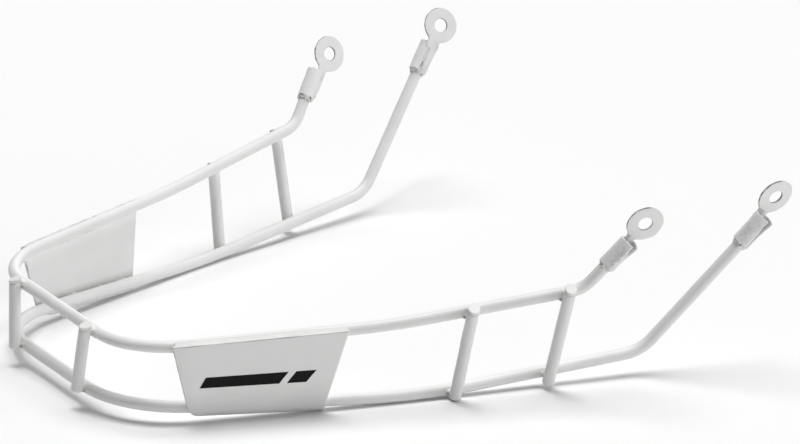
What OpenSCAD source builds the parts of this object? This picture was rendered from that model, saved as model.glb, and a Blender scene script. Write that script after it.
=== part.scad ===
// Chin guard for a slalom race helmet: a welded cage of coated steel rod.
// Two U-shaped rails run from ear to ear round the chin, six cross bars hold them apart, two curved
// sheet plates close the cheeks, and each rail end carries a folded ring terminal for a screw.
// X is across, Y runs from the chin (minus) to the ears (plus) and Z is up. The guard lies as it
// rests on a table, and the origin is on the table under the middle of the guard.
// Places along the rails are measured back from the front of the lower rail, and heights up from
// its lowest bend. A rail is set out by the corners at which its straight stretches would meet.

/* [Rod] */
// Diameter of the coated rod
rod_d = 4.4; // [3.6:0.1:5.2]
// Coating that fills the space between a piece and the rail it is welded to
coat_gap = 0.1; // [0.05:0.05:0.3]
// Chamfer at the cut ends of the cross bars
bar_chamfer = 0.5; // [0.2:0.1:1]

/* [Upper rail] */
// Width between the front corners
upper_front_w = 107; // [98:0.5:116]
// Width between the side corners
upper_side_w = 172; // [164:0.5:182]
// Width between the rear bends
upper_rear_w = 216.5; // [208:0.5:226]
// Distance back to the front corners
upper_front_back = 2.5; // [0:0.5:8]
// Distance back to the side corners
upper_side_back = 91; // [86:0.5:98]
// Distance back to the rear bends
upper_rear_back = 156.5; // [154.5:0.5:166]
// Height of the front corners
upper_front_z = 27.5; // [24:0.5:32]
// Height of the side corners
upper_side_z = 30; // [27:0.5:34]
// Height of the rear bends
upper_rear_z = 37.5; // [34:0.5:42]
// Radius of the front bends, to the rod's centre line
upper_front_r = 32; // [24:1:38]
// Radius of the slight side bends
upper_side_r = 300; // [150:10:400]
// Radius of the rear bends
upper_rear_r = 12; // [8:1:14]
// Climb of the end arms, in degrees
upper_arm_rise = 47; // [40:0.5:55]
// Splay of the end arms away from straight back, in degrees
upper_arm_splay = 31; // [26:0.5:36]
// Length of the end arms, from the bend's corner to level with the screw hole
upper_arm_len = 32.3; // [29:0.1:45]

/* [Lower rail] */
// Width between the front corners
lower_front_w = 103; // [96:0.5:112]
// Width between the side corners
lower_side_w = 168; // [160:0.5:178]
// Width between the rear bends
lower_rear_w = 206; // [198:0.5:216]
// Distance back to the side corners
lower_side_back = 103; // [96:0.5:108]
// Distance back to the rear bends
lower_rear_back = 183.5; // [174:0.5:195]
// Height of the front corners
lower_front_z = 5.5; // [3:0.5:9]
// Height of the rear bends
lower_rear_z = 7; // [4:0.5:11]
// Radius of the front bends, to the rod's centre line
lower_front_r = 36; // [26:1:40]
// Radius of the slight side bends
lower_side_r = 300; // [150:10:350]
// Radius of the rear bends
lower_rear_r = 15; // [8:1:20]
// Climb of the end arms, in degrees
lower_arm_rise = 47.3; // [40:0.1:55]
// Splay of the end arms away from straight back, in degrees
lower_arm_splay = 24.3; // [20:0.1:30]
// Length of the end arms, from the bend's corner to level with the screw hole
lower_arm_len = 74.1; // [62:0.1:88]

/* [Cross bars] */
// Length of the front bars past the centre of the upper rail
front_bar_head = 2.7; // [2.2:0.1:5]
// Length of the front bars past the centre of the lower rail
front_bar_foot = 1; // [0.6:0.1:4]
// Length of the left middle bar past the centre of the upper rail
left_mid_bar_head = 3; // [2.2:0.1:5]
// Length of the right middle bar past the centre of the upper rail
right_mid_bar_head = 0.6; // [0.6:0.1:5]
// Length of the middle bars past the centre of the lower rail
mid_bar_foot = 1.2; // [0.6:0.1:4]
// Length of the left rear bar past the centre of the upper rail
left_rear_bar_head = 4.2; // [2.2:0.1:5]
// Length of the right rear bar past the centre of the upper rail
right_rear_bar_head = 1.3; // [0.6:0.1:5]
// Length of the rear bars past the centre of the lower rail
rear_bar_foot = 2.7; // [0.6:0.1:4]
// Distance across between the tops of the two front bars
front_bar_top_w = 57; // [50:0.5:62]
// Distance across between the feet of the two front bars
front_bar_foot_w = 51; // [44:0.5:58]
// Distance back to the top of the middle side bars
mid_bar_top_back = 117.5; // [108:0.5:126]
// Distance back to the foot of the middle side bars
mid_bar_foot_back = 114.5; // [106:0.5:124]
// Distance back to the top of the rear side bars
rear_bar_top_back = 150.5; // [144:0.5:151]
// Distance back to the foot of the rear side bars
rear_bar_foot_back = 148.5; // [140:0.5:156]

/* [Cheek plates] */
// Thickness of the coated sheet
plate_t = 1.2; // [0.8:0.1:2]
// Distance back to the upper front corner
plate_top_front = 18; // [13:0.5:26]
// Distance back to the upper rear corner
plate_top_rear = 76; // [64:0.5:84]
// Distance back to the lower front corner
plate_foot_front = 22.5; // [16:0.5:28]
// Distance back to the lower rear corner
plate_foot_rear = 69.5; // [58:0.5:78]
// Height that the plate stands past the centre of the upper rail
plate_lip = 1; // [0:0.1:2]
// Angle through which the foot curls under the lower rail, in degrees
plate_curl = 84; // [60:1:100]
// Radius of the rounded front corner at the foot
plate_front_r = 3; // [1:0.1:3.2]
// Radius of the rounded rear corner at the foot
plate_rear_r = 1.6; // [1:0.1:3.2]

/* [Ring terminals] */
// Outside diameter of the ring
ring_d = 14; // [11:0.5:18]
// Diameter of the screw hole
hole_d = 5.2; // [4.2:0.1:6.4]
// Thickness of the coated strip that the terminal is folded from
strip_t = 0.9; // [0.7:0.1:1.4]
// Width of the neck between ring and barrel
neck_w = 4.6; // [3.5:0.1:5.5]
// Length of the neck between ring and barrel
neck_len = 0.8; // [0.5:0.1:4]
// Length of the barrel that is folded round the rod
barrel_len = 11.7; // [9:0.1:14]
// Clearance round the rod inside the barrel
barrel_gap = 0.05; // [0.05:0.05:0.2]
// Width of the open seam along the barrel
seam_w = 1.4; // [0.4:0.1:2]
// Place of the seam round the barrel, in degrees from the rear towards the outside
seam_turn = 60; // [40:5:80]
// Depth at which the rod ends inside the barrel's mouth
rod_inset = 1.5; // [0.5:0.1:4]
// Distance that the upper rings' centres lie to the rear of the rod's line
upper_ring_offset = 1.7; // [0:0.1:2.5]
// Distance that the lower rings' centres lie to the rear of the rod's line
lower_ring_offset = 0.1; // [0:0.1:2.5]
// Turn of the upper rings about their arms, in degrees
upper_ring_turn = 2.5; // [-10:0.5:15]
// Turn of the lower rings about their arms, in degrees
lower_ring_turn = 13.5; // [0:0.5:20]

/* [Welds] */
// Radius of the weld lumps beside each cross bar
lump_r = 1.6; // [1.2:0.1:2]
// Distance of the weld lumps from the middle of the joint, along the rail
lump_reach = 2; // [1.5:0.1:2.4]
// Radius of the stitch beads behind the plates
bead_r = 0.6; // [0.4:0.1:0.8]
// Length of each stitch bead
bead_len = 6; // [4:0.5:9]
// Number of stitch beads along each edge of a plate
bead_count = 4; // [2:1:5]
// Length of the fillet where a rod enters its barrel
fillet_len = 1.4; // [0.8:0.1:2]

/* [Hidden] */
$fn = 48;

// Coat colours: the rod and bars, the sheet pieces, and the welds under the same coat
rod_colour = [0.93, 0.93, 0.92];
sheet_colour = [0.88, 0.88, 0.87];
weld_colour = [0.90, 0.90, 0.89];

// Numbers of the coordinates in a point
ACROSS = 0;
BACK = 1;
UP = 2;

rod_r = rod_d / 2;
joint_step = rod_d + coat_gap;
bore_r = rod_r + barrel_gap;
barrel_r = bore_r + strip_t;
mouth = ring_d / 2 + neck_len;

// A rail's straights reach this far into its bends, and are thinner all round by this step,
// so that each one ends inside the bend
straight_lap = 0.3;
straight_step = 0.01;
bend_facets = 180;

// The mesh of a plate: stations along it, 0 to 1, close together at its rounded corners, and
// steps down its flat and round its curl
plate_stations = [0, 0.004, 0.015, 0.035, 0.065, for (i = [1:8]) i / 9, 0.96, 0.98, 0.993, 1];
flat_steps = 4;
curl_steps = 7;

function unit(v) = v / norm(v);

// One bend of a rod between the lines a-p and p-b:
// start, end, centre, the two axes of its plane, its angle and its radius
function bend(a, p, b, r) =
    let (
        u = unit(p - a),
        w = unit(b - p),
        angle = acos(u * w),
        cut = r * tan(angle / 2),
        inward = unit(w - (u * w) * u),
        start = p - cut * u
    )
    [start, p + cut * w, start + r * inward, -inward, u, angle, r];

// The left half of a rail: its middle point, its bends and its end
function rail(corners, radii) =
    let (last = len(corners) - 1)
    [
        corners[0],
        [for (i = [1:last - 1]) bend(corners[i - 1], corners[i], corners[i + 1], radii[i - 1])],
        corners[last]
    ];

// The point and direction of a rail where its coordinate i, across or back, has the value v
function on_line(a, b, i, v) = [a + (v - a[i]) / (b[i] - a[i]) * (b - a), unit(b - a)];

function bend_point(k, angle) = k[2] + k[6] * (cos(angle) * k[3] + sin(angle) * k[4]);

function on_bend(k, i, v) =
    let (
        swing = norm([k[3][i], k[4][i]]) * k[6],
        angle = atan2(k[4][i], k[3][i]) - acos((v - k[2][i]) / swing)
    )
    [bend_point(k, angle), cos(angle) * k[4] - sin(angle) * k[3]];

function on_rail(rl, i, v, n = 0) =
    let (a = n == 0 ? rl[0] : rl[1][n - 1][1])
    n == len(rl[1]) ? on_line(a, rl[2], i, v)
    : v <= rl[1][n][0][i] ? on_line(a, rl[1][n][0], i, v)
    : v <= rl[1][n][1][i] ? on_bend(rl[1][n], i, v)
    : on_rail(rl, i, v, n + 1);

// Direction of an arm, from its climb and splay
function arm_way(rise, splay) = [cos(rise) * sin(splay), cos(rise) * cos(splay), sin(rise)];

// Outward direction square to an arm, turned about it
function arm_side(way, turn) =
    let (side = unit([1, 0, 0] - way.x * way))
    cos(turn) * side + sin(turn) * cross(way, side);

// Length of the rod from its last corner
function rod_len(arm_len) = arm_len - mouth - rod_inset;

// A terminal's frame: the point of the rod's line level with the screw hole, the way back down
// the arm, the way towards the rear, the way out from the head, and its ring's offset
function terminal_frame(corner, way, arm_len, turn, offset) =
    let (out = arm_side(way, turn))
    [corner + arm_len * way, -way, cross(way, out), out, offset];

function hole_centre(f) = f[0] + f[4] * f[2] - (bore_r + strip_t / 2) * f[3];

// The way out from a rail at a spot where a piece crosses it in the direction way
function side_of(spot, way) = unit(cross(spot[1], way));

// The foot and head of a cross bar's centre line, which passes outside both rails
function bar_line(foot, top, below, above) =
    let (
        first = unit(top[0] - foot[0]),
        way = unit(top[0] + joint_step * side_of(top, first) - foot[0] - joint_step * side_of(foot, first))
    )
    [
        foot[0] + joint_step * side_of(foot, way) - below * way,
        top[0] + joint_step * side_of(top, way) + above * way
    ];

// How far a disc of radius r, square to way, reaches in coordinate i
function disc_reach(way, i, r) = r * sqrt(1 - way[i] * way[i]);

// The guard is first set out from its own datum, then moved onto the table by this shift
upper_way = arm_way(upper_arm_rise, upper_arm_splay);
lower_way = arm_way(lower_arm_rise, lower_arm_splay);
upper_corner = [upper_rear_w / 2, upper_rear_back, upper_rear_z];
lower_corner = [lower_rear_w / 2, lower_rear_back, lower_rear_z];

upper = rail(
    [
        [0, upper_front_back, upper_front_z],
        [upper_front_w / 2, upper_front_back, upper_front_z],
        [upper_side_w / 2, upper_side_back, upper_side_z],
        upper_corner,
        upper_corner + rod_len(upper_arm_len) * upper_way
    ],
    [upper_front_r, upper_side_r, upper_rear_r]
);
lower = rail(
    [
        [0, 0, lower_front_z],
        [lower_front_w / 2, 0, lower_front_z],
        [lower_side_w / 2, lower_side_back, 0],
        lower_corner,
        lower_corner + rod_len(lower_arm_len) * lower_way
    ],
    [lower_front_r, lower_side_r, lower_rear_r]
);

upper_frame = terminal_frame(upper_corner, upper_way, upper_arm_len, upper_ring_turn, upper_ring_offset);
lower_frame = terminal_frame(lower_corner, lower_way, lower_arm_len, lower_ring_turn, lower_ring_offset);

front_foot = on_rail(lower, ACROSS, front_bar_foot_w / 2);
front_top = on_rail(upper, ACROSS, front_bar_top_w / 2);
mid_foot = on_rail(lower, BACK, mid_bar_foot_back);
mid_top = on_rail(upper, BACK, mid_bar_top_back);
rear_foot = on_rail(lower, BACK, rear_bar_foot_back);
rear_top = on_rail(upper, BACK, rear_bar_top_back);

front_line = bar_line(front_foot, front_top, front_bar_foot, front_bar_head);
left_mid_line = bar_line(mid_foot, mid_top, mid_bar_foot, left_mid_bar_head);
right_mid_line = bar_line(mid_foot, mid_top, mid_bar_foot, right_mid_bar_head);
left_rear_line = bar_line(rear_foot, rear_top, rear_bar_foot, left_rear_bar_head);
right_rear_line = bar_line(rear_foot, rear_top, rear_bar_foot, right_rear_bar_head);

// A plate's inner face at s along it, 0 to 1: the two rail spots and the way between them
function plate_spots(s) =
    let (
        foot = on_rail(lower, BACK, plate_foot_front + s * (plate_foot_rear - plate_foot_front)),
        top = on_rail(upper, BACK, plate_top_front + s * (plate_top_rear - plate_top_front))
    )
    [foot, top, unit(top[0] - foot[0])];

// How much a corner of radius r takes off the foot at a distance d from the plate's end
function corner_cut(r, d) = d >= r ? 0 : r - sqrt(r * r - pow(r - d, 2));

// The plate's section at s, lying off the rods by gap, from its lip down and round its curl
function plate_section(s, gap) =
    let (
        k = plate_spots(s),
        reach = rod_r + gap,
        foot_out = side_of(k[0], k[2]),
        top_out = side_of(k[1], k[2]),
        run = norm(plate_spots(1)[0][0] - plate_spots(0)[0][0]),
        cut = corner_cut(plate_front_r, run * s) + corner_cut(plate_rear_r, run * (1 - s)),
        curl = plate_curl - cut / (rod_r + coat_gap) * 180 / PI,
        lip = k[1][0] + reach * top_out + plate_lip * k[2],
        foot = k[0][0] + reach * foot_out
    )
    concat(
        [for (i = [0:flat_steps]) lip + i / flat_steps * (foot - lip)],
        [for (i = [1:curl_steps])
            let (a = curl * i / curl_steps)
            k[0][0] + reach * (cos(a) * foot_out - sin(a) * cross(foot_out, k[0][1]))]
    );

// What lies lowest decides how high the guard stands
plate_low = min([for (s = plate_stations) for (p = plate_section(s, coat_gap + plate_t)) p.z]);
rail_low = min([for (k = lower[1]) for (part = [0:0.1:1]) bend_point(k, part * k[5]).z]) - rod_r;
function bar_low(line) =
    line[0].z - disc_reach(unit(line[1] - line[0]), UP, rod_r - bar_chamfer);
table_z = min(plate_low, rail_low, bar_low(front_line), bar_low(left_mid_line), bar_low(left_rear_line));

front_way = unit(front_line[1] - front_line[0]);
front_y = front_line[0].y + bar_chamfer * front_way.y - disc_reach(front_way, BACK, rod_r);
rear_y = hole_centre(lower_frame).y + disc_reach(lower_frame[3], BACK, ring_d / 2)
    + strip_t / 2 * abs(lower_frame[3].y);

datum = -[0, (front_y + rear_y) / 2, table_z];

module place(f) {
    multmatrix([
        [f[1].x, f[2].x, f[3].x, f[0].x],
        [f[1].y, f[2].y, f[3].y, f[0].y],
        [f[1].z, f[2].z, f[3].z, f[0].z],
        [0, 0, 0, 1]
    ])
        children();
}

// Stands what is drawn up along Z on the point a, pointing to b
module point_to(a, b) {
    up = unit(b - a);
    side = unit(abs(up.x) < 0.8 ? cross([1, 0, 0], up) : cross([0, 1, 0], up));
    place([a, side, cross(up, side), up]) children();
}

// What is drawn on the left, which is plus X, or its mirror image on the right
module on_side(left) {
    if (left)
        translate(datum) children();
    else
        mirror([1, 0, 0]) translate(datum) children();
}

module round_rod(a, b, d) {
    point_to(a, b) cylinder(h = norm(b - a), d = d);
}

module rod_bend(k) {
    place([k[2], k[3], k[4], cross(k[3], k[4])])
        rotate_extrude(angle = k[5], $fn = bend_facets)
            translate([k[6], 0]) circle(d = rod_d);
}

// A straight stretch of rail from a to b, which runs into the bend at each end that has one
module rail_straight(a, b, into_a, into_b) {
    way = unit(b - a);
    round_rod(a - into_a * straight_lap * way, b + into_b * straight_lap * way, rod_d - 2 * straight_step);
}

// The bent half of a rail, from its first bend to its end
module rail_half(rl) {
    last = len(rl[1]) - 1;
    for (i = [0:last]) {
        rod_bend(rl[1][i]);
        rail_straight(rl[1][i][1], i == last ? rl[2] : rl[1][i + 1][0], 1, i == last ? 0 : 1);
    }
}

module whole_rail(rl) {
    front = rl[1][0][0];
    color(rod_colour)
        translate(datum) {
            rail_straight([-front.x, front.y, front.z], front, 1, 1);
            rail_half(rl);
            mirror([1, 0, 0]) rail_half(rl);
        }
}

module bar_solid(line) {
    length = norm(line[1] - line[0]);
    point_to(line[0], line[1])
        rotate_extrude()
            polygon([
                [0, 0], [rod_r - bar_chamfer, 0], [rod_r, bar_chamfer],
                [rod_r, length - bar_chamfer], [rod_r - bar_chamfer, length], [0, length]
            ]);
}

module bar(line, left) {
    color(rod_colour) on_side(left) bar_solid(line);
}

// Two lumps of weld in the corners between a bar and one rail, cut to lie against both
module joint_lumps(spot, line) {
    up = unit(line[1] - line[0]);
    out = side_of(spot, up);
    middle = spot[0] + joint_step / 2 * out;
    difference() {
        for (way = [-1, 1]) {
            lump = middle + way * lump_reach * spot[1];
            point_to(lump, lump + out) sphere(r = lump_r);
        }
        round_rod(line[0] - rod_d * up, line[1] + rod_d * up, rod_d);
        round_rod(spot[0] - 3 * lump_r * spot[1], spot[0] + 3 * lump_r * spot[1], rod_d);
    }
}

module bar_welds(foot, top, line, left) {
    color(weld_colour)
        on_side(left) {
            joint_lumps(foot, line);
            joint_lumps(top, line);
        }
}

// The sheet between its two faces: a grid of points on each, joined round the edge
module plate(left) {
    rows = flat_steps + curl_steps + 1;
    cols = len(plate_stations);
    face = rows * cols;
    inner = [for (s = plate_stations) each plate_section(s, coat_gap)];
    outer = [for (s = plate_stations) each plate_section(s, coat_gap + plate_t)];
    // The edge goes once round the grid
    edge = concat(
        [for (i = [0:cols - 2]) i * rows],
        [for (j = [0:rows - 2]) (cols - 1) * rows + j],
        [for (i = [cols - 1:-1:1]) i * rows + rows - 1],
        [for (j = [rows - 1:-1:1]) j]
    );
    faces = concat(
        [for (i = [0:cols - 2]) for (j = [0:rows - 2])
            let (a = i * rows + j, b = a + rows)
            each [[a, a + 1, b + 1], [a, b + 1, b], [face + a, face + b + 1, face + a + 1],
                  [face + a, face + b, face + b + 1]]],
        [for (n = [0:len(edge) - 1])
            let (a = edge[n], b = edge[(n + 1) % len(edge)])
            each [[a, b, face + b], [a, face + b, face + a]]]
    );
    color(sheet_colour)
        on_side(left)
            polyhedron(points = concat(inner, outer), faces = faces);
}

// A row of stitch beads in the corner between a rail and the plate's inner face.
// turn is 1 for the corner above the rail and -1 for the corner below it
module bead_row(rl, front, rear, turn) {
    out = rod_r + coat_gap - bead_r;
    over = sqrt(pow(rod_r + bead_r, 2) - out * out);
    pitch = (rear - front) / bead_count;
    for (i = [0:bead_count - 1]) {
        spot = on_rail(rl, BACK, front + (i + 0.5) * pitch);
        way = plate_spots((i + 0.5) / bead_count)[2];
        side = side_of(spot, way);
        middle = spot[0] + out * side + turn * over * cross(side, spot[1]);
        round_rod(middle - bead_len / 2 * spot[1], middle + bead_len / 2 * spot[1], 2 * bead_r);
    }
}

module plate_welds(left) {
    color(weld_colour)
        on_side(left) {
            bead_row(upper, plate_top_front, plate_top_rear, -1);
            bead_row(lower, plate_foot_front, plate_foot_rear, 1);
        }
}

// Drawn with X back down the arm from the screw hole, Y to the rear and Z out from the head
module terminal(frame, left) {
    offset = frame[4];
    color(sheet_colour)
        on_side(left) place(frame) {
            translate([0, 0, -barrel_r])
                difference() {
                    union() {
                        translate([0, offset, 0]) cylinder(h = strip_t, d = ring_d);
                        translate([0, offset - neck_w / 2, 0]) cube([mouth + strip_t, neck_w, strip_t]);
                    }
                    translate([0, offset, -strip_t]) cylinder(h = 3 * strip_t, d = hole_d);
                }
            translate([mouth, 0, 0])
                difference() {
                    union() {
                        rotate([0, 90, 0]) cylinder(h = barrel_len, r = barrel_r);
                        translate([0, 0, -barrel_r]) cube([barrel_len, barrel_r, strip_t]);
                    }
                    translate([-strip_t, 0, 0])
                        rotate([0, 90, 0]) cylinder(h = barrel_len + 2 * strip_t, r = bore_r);
                    rotate([seam_turn, 0, 0])
                        translate([-strip_t, 0, -seam_w / 2])
                            cube([barrel_len + 2 * strip_t, 2 * barrel_r, seam_w]);
                }
        }
}

// The fillet round the rod behind its barrel
module terminal_weld(frame, left) {
    color(weld_colour)
        on_side(left) place(frame)
            translate([mouth + barrel_len, 0, 0]) rotate([0, 90, 0])
                rotate_extrude()
                    polygon([[rod_r, 0], [bore_r + strip_t / 2, 0], [rod_r, fillet_len]]);
}

whole_rail(upper);  // upper_rail
whole_rail(lower);  // lower_rail
bar(front_line, true);  // left_front_bar
bar(front_line, false);  // right_front_bar
bar(left_mid_line, true);  // left_mid_bar
bar(right_mid_line, false);  // right_mid_bar
bar(left_rear_line, true);  // left_rear_bar
bar(right_rear_line, false);  // right_rear_bar
plate(true);  // left_plate
plate(false);  // right_plate
terminal(upper_frame, true);  // upper_left_terminal
terminal(upper_frame, false);  // upper_right_terminal
terminal(lower_frame, true);  // lower_left_terminal
terminal(lower_frame, false);  // lower_right_terminal
bar_welds(front_foot, front_top, front_line, true);  // left_front_bar_welds
bar_welds(front_foot, front_top, front_line, false);  // right_front_bar_welds
bar_welds(mid_foot, mid_top, left_mid_line, true);  // left_mid_bar_welds
bar_welds(mid_foot, mid_top, right_mid_line, false);  // right_mid_bar_welds
bar_welds(rear_foot, rear_top, left_rear_line, true);  // left_rear_bar_welds
bar_welds(rear_foot, rear_top, right_rear_line, false);  // right_rear_bar_welds
plate_welds(true);  // left_plate_welds
plate_welds(false);  // right_plate_welds
terminal_weld(upper_frame, true);  // upper_left_terminal_weld
terminal_weld(upper_frame, false);  // upper_right_terminal_weld
terminal_weld(lower_frame, true);  // lower_left_terminal_weld
terminal_weld(lower_frame, false);  // lower_right_terminal_weld
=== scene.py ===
"""Looks of the slalom chin guard: a white powder-coated cage of welded rod on a white table.

Lengths are in millimetres in the part's own frame until a mesh is made, which is in metres.
The named sizes repeat those of the part's source, so every piece lies where its solid lies. The
plates' lip and corners, the bars' heads and the terminals' folds follow the photo more closely.
"""
from math import acos, atan2, cos, pi, radians, sin, sqrt, tan

import bpy
import numpy as np
from mathutils import Matrix, Vector


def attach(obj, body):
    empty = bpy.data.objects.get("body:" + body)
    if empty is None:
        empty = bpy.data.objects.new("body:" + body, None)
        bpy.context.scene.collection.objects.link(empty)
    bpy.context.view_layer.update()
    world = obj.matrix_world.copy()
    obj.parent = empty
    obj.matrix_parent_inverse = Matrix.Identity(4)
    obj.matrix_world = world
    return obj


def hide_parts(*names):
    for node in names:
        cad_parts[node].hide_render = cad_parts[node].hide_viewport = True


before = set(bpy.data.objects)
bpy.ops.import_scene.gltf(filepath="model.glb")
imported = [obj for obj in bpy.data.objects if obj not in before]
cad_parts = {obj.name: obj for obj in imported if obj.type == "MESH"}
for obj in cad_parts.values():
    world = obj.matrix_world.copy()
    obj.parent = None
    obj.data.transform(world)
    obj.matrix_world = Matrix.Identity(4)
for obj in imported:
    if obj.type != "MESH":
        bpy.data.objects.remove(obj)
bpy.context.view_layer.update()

MM = 0.001

# Sizes of the part
ROD_R = 2.2
COAT_GAP = 0.1
# Between the centre lines of two rods that are welded side by side
JOINT_STEP = 2 * ROD_R + COAT_GAP
BORE_R = ROD_R + 0.05
STRIP_T = 0.9
BARREL_R = BORE_R + STRIP_T
BARREL_LEN = 11.7
RING_R = 7.0
HOLE_R = 2.6
# From the ring's centre to the barrel's mouth, and from there to the rod's end
MOUTH = RING_R + 0.8
ROD_INSET = 1.5
PLATE_T = 1.2
# How far a plate stands past the upper rail's centre, and how far its foot curls round the lower
PLATE_LIP = 1.5
PLATE_CURL = radians(84)
PLATE_FRONT_R = 6.5
PLATE_REAR_R = 2.0
# Where each plate starts and ends along the upper and the lower rail
PLATE_TOP = (18.0, 76.0)
PLATE_FOOT = (22.5, 69.5)
BEAD_COUNT = 4
BEAD_LEN = 6.0
FILLET_LEN = 1.4
# The left half of each rail, by the corners at which its straight stretches would meet, and the
# radii of its bends
UPPER_CORNERS = ((0, 2.5, 27.5), (53.5, 2.5, 27.5), (86, 91, 30), (108.25, 156.5, 37.5))
UPPER_RADII = (32, 300, 12)
LOWER_CORNERS = ((0, 0, 5.5), (51.5, 0, 5.5), (84, 103, 0), (103, 183.5, 7))
LOWER_RADII = (36, 300, 15)
# Each arm's climb and splay in degrees, and its length from the last corner to the ring's centre
UPPER_ARM = (47, 31, 32.3)
LOWER_ARM = (47.3, 24.3, 74.1)
# Each terminal's turn round its arm in degrees, and its ring's offset to the rear
UPPER_RING = (2.5, 1.7)
LOWER_RING = (13.5, 0.1)
# From the frame that the part is set out in to the frame it rests in
DATUM = np.array([0.0, -114.829, 1.6563])

ACROSS, BACK = 0, 1
X_AXIS = np.array([1.0, 0.0, 0.0])
# Each cross bar: the axis that its places are measured along, its places on the lower and upper
# rail, and how far it runs past the lower rail's centre and past the upper one's on each side
BAR_PLACES = {
    "front": (ACROSS, 25.5, 28.5, 1.0, {"left": 2.0, "right": 1.8}),
    "mid": (BACK, 114.5, 117.5, 1.2, {"left": 3.0, "right": 0.6}),
    "rear": (BACK, 148.5, 150.5, 2.7, {"left": 4.2, "right": 1.3}),
}


def unit(v):
    return v / np.linalg.norm(v)


def vec(*v):
    return np.array(v, float)


class Bend:
    """A bend of a rod between the lines a-p and p-b."""

    def __init__(self, a, p, b, r):
        u, w = unit(p - a), unit(b - p)
        self.angle = acos(float(u @ w))
        self.r = r
        cut = r * tan(self.angle / 2)
        inward = unit(w - (u @ w) * u)
        self.start, self.end = p - cut * u, p + cut * w
        self.centre = self.start + r * inward
        self.e0, self.e1 = -inward, u

    def point(self, a):
        return self.centre + self.r * (cos(a) * self.e0 + sin(a) * self.e1)

    def way(self, a):
        return cos(a) * self.e1 - sin(a) * self.e0


class Rail:
    """The left half of a rail: its middle point, its bends and its end."""

    def __init__(self, corners, radii):
        self.first, self.last = corners[0], corners[-1]
        self.bends = [Bend(corners[i], corners[i + 1], corners[i + 2], r) for i, r in enumerate(radii)]

    def at(self, i, v):
        """Point and direction where coordinate i has the value v."""
        a = self.first
        for k in self.bends:
            if v <= k.start[i]:
                return a + (v - a[i]) / (k.start[i] - a[i]) * (k.start - a), unit(k.start - a)
            if v <= k.end[i]:
                swing = sqrt(k.e0[i] ** 2 + k.e1[i] ** 2) * k.r
                angle = atan2(k.e1[i], k.e0[i]) - acos((v - k.centre[i]) / swing)
                return k.point(angle), k.way(angle)
            a = k.end
        return a + (v - a[i]) / (self.last[i] - a[i]) * (self.last - a), unit(self.last - a)

    def half(self, step, turn):
        """Points and directions from the middle to the end, at most step apart and turn in a bend."""
        out = []
        a = self.first
        for k in self.bends + [None]:
            b = self.last if k is None else k.start
            n = max(1, int(np.ceil(np.linalg.norm(b - a) / step)))
            out += [(a + i / n * (b - a), unit(b - a)) for i in range(n + (k is None))]
            if k is not None:
                m = max(2, int(np.ceil(max(k.angle / turn, k.angle * k.r / step))))
                out += [(k.point(k.angle * i / m), k.way(k.angle * i / m)) for i in range(m)]
                a = k.end
        return out


def arm_way(rise, splay):
    """The direction of an arm from its climb and splay in degrees."""
    rise, splay = radians(rise), radians(splay)
    return vec(cos(rise) * sin(splay), cos(rise) * cos(splay), sin(rise))


class Terminal:
    """A terminal's frame: origin on the rod's line level with the hole, X back down the arm,
    Y to the rear, Z out from the head."""

    def __init__(self, corner, way, arm_len, turn, offset):
        side = unit(X_AXIS - way[0] * way)
        self.out = cos(radians(turn)) * side + sin(radians(turn)) * np.cross(way, side)
        self.origin = corner + arm_len * way
        self.down, self.rear = -way, np.cross(way, self.out)
        self.offset = offset

    def place(self, points):
        return self.origin + points @ np.array([self.down, self.rear, self.out])


def side_of(spot, way):
    """Outwards from a rail, square to it and to a bar or plate that runs that way."""
    return unit(np.cross(spot[1], way))


def bar_line(foot, top, below, above):
    """The two ends of a bar's centre line, outside the rails."""
    first = unit(top[0] - foot[0])
    way = unit(top[0] + JOINT_STEP * side_of(top, first) - foot[0] - JOINT_STEP * side_of(foot, first))
    return (foot[0] + JOINT_STEP * side_of(foot, way) - below * way,
            top[0] + JOINT_STEP * side_of(top, way) + above * way)


def rail_and_terminal(corners, radii, arm, ring):
    """The left half of a rail with its arm, and the terminal at the arm's end."""
    rise, splay, arm_len = arm
    way = arm_way(rise, splay)
    corners = [vec(*corner) for corner in corners]
    arm_end = corners[-1] + (arm_len - MOUTH - ROD_INSET) * way
    return Rail(corners + [arm_end], radii), Terminal(corners[-1], way, arm_len, *ring)


upper, upper_terminal = rail_and_terminal(UPPER_CORNERS, UPPER_RADII, UPPER_ARM, UPPER_RING)
lower, lower_terminal = rail_and_terminal(LOWER_CORNERS, LOWER_RADII, LOWER_ARM, LOWER_RING)
BARS = {name: (lower.at(axis, low), upper.at(axis, high), below, above)
        for name, (axis, low, high, below, above) in BAR_PLACES.items()}


def plate_spots(s):
    """A plate's spots on the lower and the upper rail and the way up it, at share s of its length."""
    foot = lower.at(BACK, PLATE_FOOT[0] + s * (PLATE_FOOT[1] - PLATE_FOOT[0]))
    top = upper.at(BACK, PLATE_TOP[0] + s * (PLATE_TOP[1] - PLATE_TOP[0]))
    return foot, top, unit(top[0] - foot[0])


def sheet_line(s):
    """A plate's lip, its spot on the lower rail, and outwards at the lip and at that spot."""
    foot, top, way = plate_spots(s)
    return top[0] + PLATE_LIP * way, foot, side_of(top, way), side_of(foot, way)


# Noise and mesh helpers
class Waves:
    """Smooth seeded noise between about -1 and 1: a few sine waves in random directions."""

    def __init__(self, seed, length, count=9):
        draw = np.random.default_rng(seed)
        way = draw.normal(size=(count, 3))
        way /= np.linalg.norm(way, axis=1)[:, None]
        self.k = way * (2 * pi / (length * draw.uniform(0.6, 1.6, count)))[:, None]
        self.phase = draw.uniform(0, 2 * pi, count)
        self.size = 1.6 / sqrt(count)

    def __call__(self, p):
        return self.size * np.sin(p @ self.k.T + self.phase).sum(-1)


def smooth_min(a, b, k):
    h = np.clip(0.5 + 0.5 * (b - a) / k, 0, 1)
    return b + (a - b) * h - k * h * (1 - h)


def smooth_max(a, b, k):
    return -smooth_min(-a, -b, k)


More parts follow.
